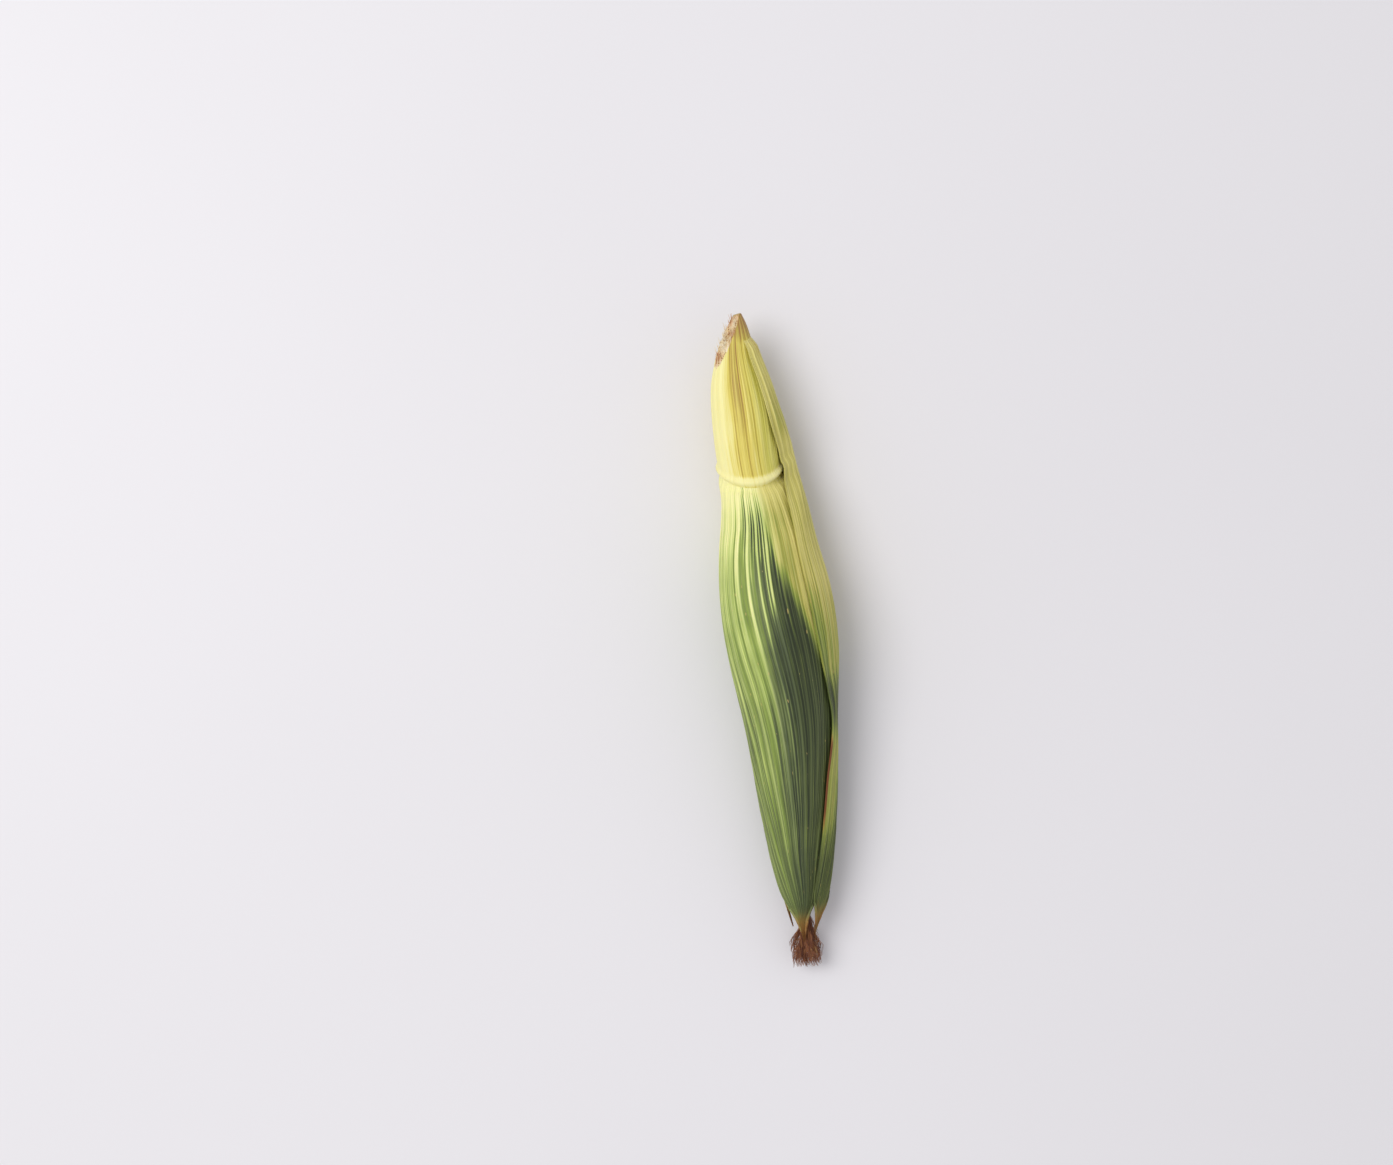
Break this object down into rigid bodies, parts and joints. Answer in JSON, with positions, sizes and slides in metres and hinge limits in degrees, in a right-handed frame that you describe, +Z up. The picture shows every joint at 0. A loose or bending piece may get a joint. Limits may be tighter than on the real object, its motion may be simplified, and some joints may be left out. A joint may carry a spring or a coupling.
{
  "type": "ear of corn in its husk",
  "caption": "Ear of corn lying in its green husk, with a snapped shank at one end and a tuft of silk at the tip.",
  "frame": {"origin": "under the middle of the ear, on the surface that it lies on", "axes": "+Z up, +Y along the ear towards the snapped end of the shank, +X to the right when looking down with the shank at the top"},
  "size_m": [0.0504, 0.2906, 0.0493],
  "materials": {
    "shank": "ribbed pale yellow-green stalk, brown where it was snapped",
    "outer_husk": "satin ribbed leaf, pale yellow-green at the base and dark green towards the tip",
    "inner_husk": "smooth satin leaf, pale green",
    "kernels": "glossy ivory kernels",
    "silk": "fine dry reddish-brown threads"
  },
  "bodies": {
    "root": {"shank": "shank", "cob": "kernels", "husk_leaf_right": "outer_husk", "husk_leaf_front": "outer_husk", "husk_leaf_third": "inner_husk", "husk_leaf_fourth": "inner_husk", "husk_leaf_fifth": "inner_husk", "husk_leaf_inner": "inner_husk", "silk": "silk"}
  },
  "joints": []
}
